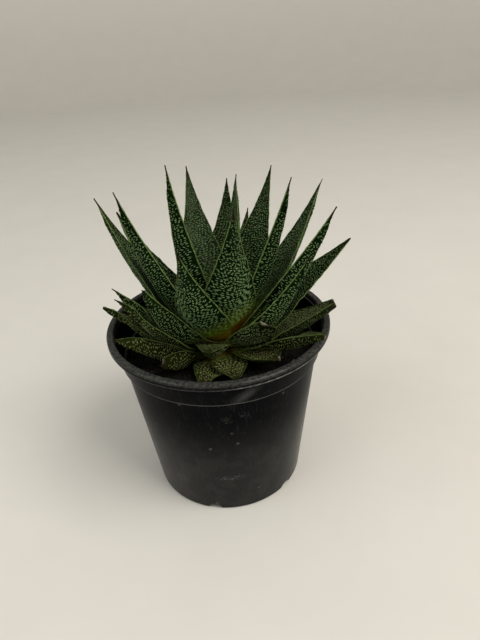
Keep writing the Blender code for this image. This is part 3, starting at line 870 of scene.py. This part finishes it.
def leaf_sheet(leaf, rank, s, t):
    """Inner face of a leaf before others press on it, at places s along and t across it.

    Its middle line is a quadratic curve in the upright plane at the leaf's azimuth. The width
    tapers as the mean of a quarter sine and an ease. The margins stand up by CUP times half the
    width times t squared. Returns the grid, the way to the outer face and the way across for
    each row, half the width, the thickness on the middle line, and the length.
    """
    turn = math.radians(leaf.azimuth)
    out = np.array([math.cos(turn), math.sin(turn), 0.0])
    side = np.array([-math.sin(turn), math.cos(turn), 0.0])
    polar = math.radians(FIRST_TILT + TILT_RANGE * (rank / (len(LEAVES) - 1)) ** TILT_POWER)
    dome = np.array([math.sin(polar), math.cos(polar)])
    drop = LOW_DROP * smooth_step((rank / (len(LEAVES) - 1) - LOW_SHARE) / (1 - LOW_SHARE))
    start = np.array([0, CROWN_HEIGHT - drop]) + LEAF_SEAT * dome
    end = np.array([leaf.reach, leaf.height], float)
    chord = end - start
    length = float(np.hypot(*chord))
    square = np.array([chord[1], -chord[0]]) / length
    middle = (start + end) / 2 - SLOUCH * chord + square * 2 * leaf.bow
    s = s[:, None]
    line = (1 - s) ** 2 * start + 2 * s * (1 - s) * middle + s ** 2 * end
    slope = 2 * (1 - s) * (middle - start) + 2 * s * (end - middle)
    slope /= np.linalg.norm(slope, axis=1, keepdims=True)
    square_to = dome + (slope - dome) * smooth_step(s * length / SEAT_TURN)
    square_to /= np.linalg.norm(square_to, axis=1, keepdims=True)
    away = square_to[:, 1:2] * out - square_to[:, 0:1] * UP
    lean = np.radians(leaf.twist) * s
    across = np.cos(lean) * side + np.sin(lean) * away
    away = np.cos(lean) * away - np.sin(lean) * side
    whole = length + leaf.missing
    share = np.clip((leaf.missing + length * (1 - s)) / (TAPER_SHARE * whole), 0, 1)
    taper = (np.sin(math.pi / 2 * share) + smooth_step(share)) / 2
    free = smooth_step(s * length / CROWDED_REACH)
    half = np.maximum((leaf.neck + (leaf.width - leaf.neck) * free) / 2 * taper, TIP_WIDTH / 2)
    body = leaf.thick * (TIP_BODY + (1 - TIP_BODY) * taper ** BODY_POWER)
    body *= SEAT_BODY + (1 - SEAT_BODY) * free
    body = np.maximum(body * np.clip(share * TIP_THINNING, 0, 1), TIP_THICKNESS)
    centre = line[:, 0:1] * out + line[:, 1:2] * UP
    grid = centre[:, None, :] + (half * t)[..., None] * across[:, None, :]
    grid -= (CUP * half * t ** 2)[..., None] * away[:, None, :]
    return grid, away, across, half, body, length


def pressed(node, leaf, rank):
    """How far younger leaves bend this one outwards, read off the frame's own leaf.

    Rays from just inside the sheet, along the way to the outer face, find the inner face. Places
    that they miss take the value of the row before, and the whole is evened out.
    """
    s = np.linspace(0, 1, PROBE_ROWS + 1)
    t = np.linspace(-FACE_EDGE, FACE_EDGE, PROBE_COLS + 1)[None, :]
    sheet, away = leaf_sheet(leaf, rank, s, t)[:2]
    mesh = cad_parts[node].data
    corners = [v.co / MM for v in mesh.vertices]
    tree = BVHTree.FromPolygons(corners, [p.vertices for p in mesh.polygons])
    ways = np.broadcast_to(away[:, None, :], sheet.shape)
    begins = (sheet - PROBE_BACK * ways).reshape(-1, 3)
    found = [tree.ray_cast(Vector(p), Vector(d))[3] for p, d in zip(begins, ways.reshape(-1, 3))]
    far = np.array([np.nan if f is None else f for f in found]).reshape(sheet.shape[:2])
    far -= PROBE_BACK
    far[:PROBE_ROWS // CAD_ROWS] = np.nan
    far[~np.isfinite(far) | (far > PRESS_RANGE[1])] = np.nan
    rows = np.arange(far.shape[0])[:, None]
    known = np.maximum.accumulate(np.where(np.isfinite(far), rows, -1), axis=0)
    first = np.where(np.isfinite(far).any(axis=0), np.isfinite(far).argmax(axis=0), 0)
    far = np.nan_to_num(np.take_along_axis(far, np.where(known < 0, first, known), axis=0))
    far = np.where(far < PRESS_RANGE[0], 0, far)
    for _ in range(2):
        wide = np.pad(far, 1, mode="edge")
        rows, cols = far.shape
        far = sum(wide[i:i + rows, j:j + cols] for i in range(3) for j in range(3)) / 9
    return far


def ripple(s, length, wave, height, draw):
    """Irregular waves along a leaf: three sines whose lengths are near the one given."""
    phase = draw.uniform(0, 2 * math.pi, 3)
    pitch = wave * draw.uniform(0.6, 1.7, 3)
    return height * sum(np.sin(2 * math.pi * s * length / p + f) for p, f in zip(pitch, phase)) / 3


def leaf_faces(leaf, rank, press, draw):
    """Fine inner and outer face of a leaf and its two margins, with everything about its rows.

    The thickness over a point is the middle one times 1 - |t|^KEEL_POWER, less what the younger
    leaves press out of it. Low lumps and waves in the margins keep it from looking drawn.
    """
    s = 1 - (1 - np.linspace(0, 1, SKIN_ROWS + 1)) ** ROW_CROWDING
    faces = []
    phases = draw.uniform(0, 2 * math.pi, (2, 4))
    edge_seed = draw.integers(1 << 30)
    for cols, outer in ((OUTER_COLS, True), (INNER_COLS, False), (1, False)):
        t = np.linspace(-1, 1, cols + 1)[None, :] * (FACE_EDGE if cols > 1 else 1)
        grid, away, across, half, body, length = leaf_sheet(leaf, rank, s, t)
        rows = s[:, None] * PROBE_ROWS + 0 * t
        shift = read_grid(press, rows, (t / FACE_EDGE + 1) / 2 * PROBE_COLS + 0 * rows)
        edge_draw = np.random.default_rng(edge_seed)
        wave, tall = EDGE_WAVE[0], EDGE_WAVE[1] * min(1, (length / CALM_LENGTH) ** 2)
        left, right = (ripple(s[:, None], length, wave, tall, edge_draw) for _ in range(2))
        bend = np.where(t < 0, left, right) * np.abs(t) ** 3 * np.minimum(half / 8, 1)
        depth = body * (1 - np.abs(t) ** KEEL_POWER)
        least = LEAST_THICKNESS * (1 - t ** 2) * np.minimum(1, body / 2)
        y = s[:, None] * length
        lump = sum(np.sin(y / pitch + phase + slant * t)
                   for (pitch, slant), phase in zip(SKIN_LUMPS, phases[0 if outer else 1]))
        lump = SKIN_LUMP_HEIGHT * lump * np.minimum(half / 10, 1)
        lift = shift + (np.maximum(depth - shift, least) + lump if outer else -lump * (1 - t ** 2))
        grid = grid + lift[..., None] * away[:, None, :] + bend[..., None] * across[:, None, :]
        seated = (1 - smooth_step(s * CAD_ROWS))[:, None, None]
        faces.append(grid + (on_stem(grid[0]) - grid[0])[None] * seated)
    return faces, Rows(s, away, across, half[:, 0], length)


def normals(grid, outwards):
    """Unit normals of a grid's points, from the slopes along its rows and columns."""
    normal = np.cross(np.gradient(grid, axis=1), np.gradient(grid, axis=0))
    normal /= np.maximum(np.linalg.norm(normal, axis=-1, keepdims=True), 1e-9)
    return normal if outwards else -normal


def wart_places(rows, bare, draw):
    """Place, turn, length and width of each wart on a face, in millimetres along and across it.

    Low on a leaf the warts are dashes in cross rows that rise away from the middle; higher up
    they shorten to dots that lie more and more at random. The foot is bare up to a share.
    """
    length = rows.length
    y = [FIRST_ROW * length]
    while y[-1] < 1.05 * length:
        y.append(y[-1] + np.interp(y[-1] / length, *ROW_SPACE))
    y = np.array(y)[:, None]
    share = y / length
    field = (len(y), WARTS_A_ROW)
    high = smooth_step((share - DOTS_FROM[0]) / DOTS_FROM[1])
    long = (1 - high) * draw.uniform(*DASH_LENGTH, field) + high * draw.uniform(*DOT_LENGTH, field)
    small = np.interp(share, *WART_SHRINK)
    long = long * small
    gap = draw.uniform(*WART_GAP, field) * small
    x = np.cumsum(long + gap, axis=1) - long / 2 - ROW_START - draw.uniform(0, 3, (len(y), 1))
    rise = ROW_RISE[0] + ROW_RISE[1] * smooth_step(share / 0.5)
    tall, wave, shift, steep = ROW_WAVE
    phase = x / wave + shift * np.arange(len(y))[:, None]
    slope = rise * np.sign(x) + steep * np.cos(phase) + draw.normal(0, 0.12 + 0.5 * high, field)
    bend = rise * (np.abs(x) - 4) + tall * np.sin(phase)
    y = y + bend + draw.normal(0, 0.08 + 0.2 * high, field)
    wide = draw.uniform(*WART_WIDTH, field) * (0.3 + 0.7 * small)
    share = y / length
    room = 0.97 * np.interp(share, rows.share, rows.half) - 0.33 * long
    keep = (np.abs(x) < room) & (share > bare) & (share < WART_END)
    chance = smooth_step((share - bare) / 0.14) * (1 - 0.3 * smooth_step((share - 0.72) / 0.2))
    keep &= draw.random(field) < chance
    return x[keep], y[keep], np.arctan(slope)[keep], long[keep], wide[keep]


def wart_bumps(face, rows, outer, number, draw):
    """Warts on one face: low mounds whose feet are sunk in the skin, and how pale each point is.

    A mound has a ring of corners at its foot, a smaller ring on its shoulder and a top. It is
    palest on top, and fainter near the foot and the tip of the leaf; low on the leaf part of that
    is painted shade, for the shade deep in the rosette.
    """
    bare = BARE_FOOT.get(number, PLAIN_FOOT)
    x, y, turn, long, wide = wart_places(rows, bare, draw)
    count = len(x)
    n = WART_SIDES
    corner = np.radians(360 / n * np.arange(n))
    ring = np.stack([np.cos(corner), np.sin(corner)], axis=-1)
    plan = np.concatenate([1.08 * ring, 0.82 * ring, [(0.0, 0.0)]])
    tall = (draw.uniform(*WART_TALL, count) * (1 if outer else INSIDE_TALL))[:, None]
    rise = [np.full((count, n), WART_ROOT), np.repeat(0.75 * tall, n, axis=1), tall]
    rise = np.concatenate(rise, axis=1)[..., None]
    uneven = draw.uniform(0.85, 1.15, (count, len(plan)))
    u = plan[:, 0] * long[:, None] / 2 * uneven
    v = plan[:, 1] * wide[:, None] / 2 * uneven
    turn = turn[:, None]
    px = x[:, None] + u * np.cos(turn) - v * np.sin(turn)
    py = y[:, None] + u * np.sin(turn) + v * np.cos(turn)
    share = py / rows.length
    row = np.interp(share, rows.share, np.arange(len(rows.share)))
    col = (px / np.interp(share, rows.share, rows.half) / FACE_EDGE + 1) / 2 * (face.shape[1] - 1)
    points = read_grid(face, row, col) + rise * read_grid(normals(face, outer), row, col)
    start = len(plan) * np.arange(count)[:, None, None]
    around = np.arange(n)
    beside = (around + 1) % n
    sides = np.stack([around, beside, beside + n, around + n], axis=-1)
    caps = np.stack([around + n, beside + n, np.full(n, 2 * n)], axis=-1)
    faces = [(start + f[None]).reshape(-1, f.shape[1]) for f in (sides, caps, around[None, ::-1])]
    strength = draw.uniform(0.55, 1.0, count)
    if not outer:
        faces = [f[:, ::-1] for f in faces]
        strength *= INSIDE_STRENGTH
        # painted shade: the inner faces of some low leaves are dimmed for the shadow between leaves
        strength *= SHADE_DIMMED_INSIDE.get(number, 1.0)
    at = y / rows.length
    # painted shade: warts low on the leaf are dimmed for the shade deep in the rosette
    strength *= 0.8 + 0.2 * smooth_step((at - 0.15) / 0.4)
    strength *= 0.15 + 0.85 * smooth_step((at - bare) / FADE_IN.get(number, PLAIN_FADE))
    strength *= 1 - 0.35 * smooth_step((at - 0.7) / 0.25)
    pale = np.repeat([0.45, 0.95, 1.0], [n, n, 1]) * strength[:, None]
    return points.reshape(-1, 3), faces, pale.ravel(), share.ravel()


def skin_rings(faces, rows, sore, draw):
    """Rings of a leaf's skin from the stem to the tip, and the last point past them.

    A ring is the outer face from margin to margin, the right bead, the inner face back, and the
    left bead. Smaller rings round off the tip, or make the rough scar of a broken one.
    """
    outer, inner, margins = faces
    wave = 1 + ripple(rows.share, rows.length, *BEAD_WAVE, draw)
    bead = np.minimum(BEAD * wave, 0.5 * rows.half)[:, None, None]
    turn = np.radians(BEAD_TURNS)
    bend = np.cos(turn)[None, :, None] * rows.across[:, None, :]
    tall = np.sin(turn)[None, :, None] * rows.away[:, None, :]
    right = margins[:, 1:2] + bead * (bend + tall)
    left = margins[:, 0:1] + bead * (tall - bend)[:, ::-1]
    rings = np.concatenate([outer, right, inner[:, ::-1], left], axis=1)
    rings[0] = on_stem(rings[0])
    tip = rings[-1].mean(axis=0)
    ending = rings[-1] - tip
    onward = tip - rings[-2].mean(axis=0)
    onward /= np.linalg.norm(onward)
    blunt = min(1.0, rows.half[-1] / BLUNT_HALF)
    closing = []
    for size, step in TIP_RINGS:
        rough = 1 + sore * draw.normal(0, 0.05, (rings.shape[1], 1))
        tip = tip + onward * step * (1 if blunt == 1 else 0.5)
        lean = onward * sore * draw.normal(0, 0.2 * blunt, (rings.shape[1], 1))
        closing.append(tip + ending * size * rough + lean)
    return np.concatenate([rings, closing]), tip


def skin_marks(widths, along, sore, number):
    """Named numbers of a skin's points: its rings, of four strips, and its two poles."""
    count, around = len(along), sum(widths)
    on_rim = np.repeat([0, 1, 0, 1], widths)
    on_inner = np.repeat([0, 0, 1, 0], widths)
    scar = np.concatenate([np.zeros(SKIN_ROWS), [0.3, 0.7, 1, 1]]) * sore
    aside = np.interp(np.arange(around), [0, *np.cumsum(widths)], [-1, 1, 1, -1, -1])
    spot = bell(aside, PALE_SPOT.get(number, NO_SPOT), SPOT_SPREAD)
    marks = {
        "along": np.repeat(along, around),
        "inner": np.tile(on_inner, count),
        "rim": np.tile(on_rim, count),
        "scar": np.repeat(scar, around),
        "spot": (scar[:, None] * spot).ravel(),
        "wart": np.zeros(count * around),
    }
    tips = {"along": along[-1], "scar": sore, "spot": spot.mean()}
    return {key: np.concatenate([values, [0, tips.get(key, 0)]]) for key, values in marks.items()}


def make_leaf(rank, row, finish):
    """One leaf: a skin closed round its two faces, a bead on each margin, and its warts."""
    leaf = Leaf(*row)
    number = rank + 1
    name = f"leaf_{number:02d}"
    draw = np.random.default_rng(LEAF_SEED + number)
    sore = SORE.get(number, 0.0)
    if number in SAGGED:
        leaf = leaf._replace(**SAGGED[number])
        press = np.zeros((PROBE_ROWS + 1, PROBE_COLS + 1))
    else:
        press = pressed(name, leaf, rank)
    faces, rows = leaf_faces(leaf, rank, press, draw)
    outer, inner = faces[:2]
    rings, tip = skin_rings(faces, rows, sore, draw)
    count, around = rings.shape[:2]
    ids = np.arange(around)
    last = count * around
    ends = [fan(ids, last, upwards=False), fan(ids + last - around, last + 1, upwards=True)]
    meshes = [wrap(count, around), np.concatenate(ends)]
    groups = [np.concatenate([rings.reshape(-1, 3), [rings[0].mean(axis=0), tip]])]
    whole = rows.length / (rows.length + leaf.missing)
    along = np.concatenate([rows.share, np.ones(len(TIP_RINGS))]) * whole
    bead = len(BEAD_TURNS)
    marks = skin_marks([outer.shape[1], bead, inner.shape[1], bead], along, sore, number)
    for face, outwards in ((outer, True), (inner, False)):
        bumps, bump_faces, pale, share = wart_bumps(face, rows, outwards, number, draw)
        start = sum(len(g) for g in groups)
        groups.append(bumps)
        meshes += [f + start for f in bump_faces]
        given = {"along": share * whole, "inner": np.full(len(bumps), 1 - outwards), "wart": pale}
        for key, values in marks.items():
            marks[key] = np.concatenate([values, given.get(key, np.zeros(len(bumps)))])
    marks["age"] = smooth_step((rank / (len(LEAVES) - 1) - 0.35) / 0.6)
    marks["pale"] = marks["inner"] * PALE_INSIDE.get(number, 0.0)
    marks["blush"] = BLUSH.get(number, PLAIN_BLUSH)
    make_piece(f"{name}_skin", np.concatenate(groups), meshes, finish, name, marks)


# Floor, light and camera

CAMERA_PLACE = (0.0, -263.16, 259.61)
CAMERA_RIGHT = (0.99539883, -0.0793796, -0.05366603)
CAMERA_UP = (0.08631243, 0.49960101, 0.86194489)
FOCUS_PIXELS = 515.157  # focal length in the photo's pixels
PHOTO_HEIGHT = 640
SENSOR = 36.0
ROOM_RADIUS = 1900.0
ROOM_DISC = 600.0  # radius of the flat disc under the pot
SWEEP = 700.0  # radius of the curve from the floor up into the wall
WALL_TOP = 2000.0
LIGHT_TARGET = (0, 0, 0.1)  # in metres


def make_floor():
    """Plain pale floor that curves up into a wall all round, so that no horizon shows."""
    made = Finish("pale floor")
    patches = made.use(MOTTLE, Scale=14.0, Contrast=1.6)
    height = made.put("SeparateXYZ", {0: made.place}).outputs["Z"]
    colour = made.mix(patches, ROOM_GREY, ROOM_PALE)
    made.feed(made.shader["Base Color"], made.mix(made.ease(height, 0.02, 0.6), colour, WALL_PALE))
    made.shader["Roughness"].default_value = 0.75
    sweep = arc((ROOM_RADIUS, SWEEP), SWEEP, 0, -90, 16)
    profile = [(ROOM_RADIUS + SWEEP, WALL_TOP)] + sweep + [(ROOM_DISC, 0)]
    grid = turned(profile, np.linspace(0, 2 * math.pi, 96, endpoint=False))
    points = np.concatenate([grid.reshape(-1, 3), [(0, 0, 0)]])
    middle = len(points) - 1
    last_ring = np.arange(middle - grid.shape[1], middle)
    faces = [wrap(*grid.shape[:2]), fan(last_ring, middle, upwards=True)]
    floor = make_mesh("floor", points, faces, made.material)


def soft_light(name, place, size, power, colour):
    """Square soft box that faces the middle of the plant."""
    data = bpy.data.lights.new(name, "AREA")
    data.size = size
    data.energy = power
    data.color = colour
    light = bpy.data.objects.new(name, data)
    light.location = place
    aim = Vector(LIGHT_TARGET) - light.location
    light.rotation_euler = aim.to_track_quat("-Z", "Y").to_euler()
    bpy.context.collection.objects.link(light)


def make_light():
    """Pale even surroundings, one large key from the upper right and a weak fill from the left."""
    world = bpy.data.worlds.new("pale room")
    bpy.context.scene.world = world
    world.use_nodes = True
    sky = world.node_tree.nodes["Background"]
    sky.inputs["Color"].default_value = (0.80, 0.78, 0.74, 1)
    sky.inputs["Strength"].default_value = 0.62
    soft_light("key", (0.75, -0.55, 1.35), 0.9, 17.0, (1.0, 0.96, 0.90))
    soft_light("fill", (-0.9, -0.4, 0.9), 0.9, 4.0, (0.93, 0.97, 1.0))


def make_camera():
    """Camera where the photograph was taken from, fitted to the pot's rim, step and base."""
    data = bpy.data.cameras.new("camera")
    data.sensor_width = SENSOR
    data.lens = FOCUS_PIXELS / PHOTO_HEIGHT * SENSOR
    data.clip_start = 0.01
    camera = bpy.data.objects.new("camera", data)
    right = Vector(CAMERA_RIGHT)
    up = Vector(CAMERA_UP)
    turn = Matrix((right, up, right.cross(up))).transposed()
    camera.matrix_world = Matrix.Translation(Vector(CAMERA_PLACE) * MM) @ turn.to_4x4()
    bpy.context.collection.objects.link(camera)
    bpy.context.scene.camera = camera
    bpy.context.scene.view_settings.view_transform = "Standard"


make_camera()
make_light()
make_floor()
make_pot(pot_material())
make_soil(soil_material())
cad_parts["stem"].data.materials.clear()
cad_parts["stem"].data.materials.append(stem_material())
LEAF_SKIN = leaf_material()
for leaf_rank, leaf_row in enumerate(LEAVES):
    make_leaf(leaf_rank, leaf_row, LEAF_SKIN)
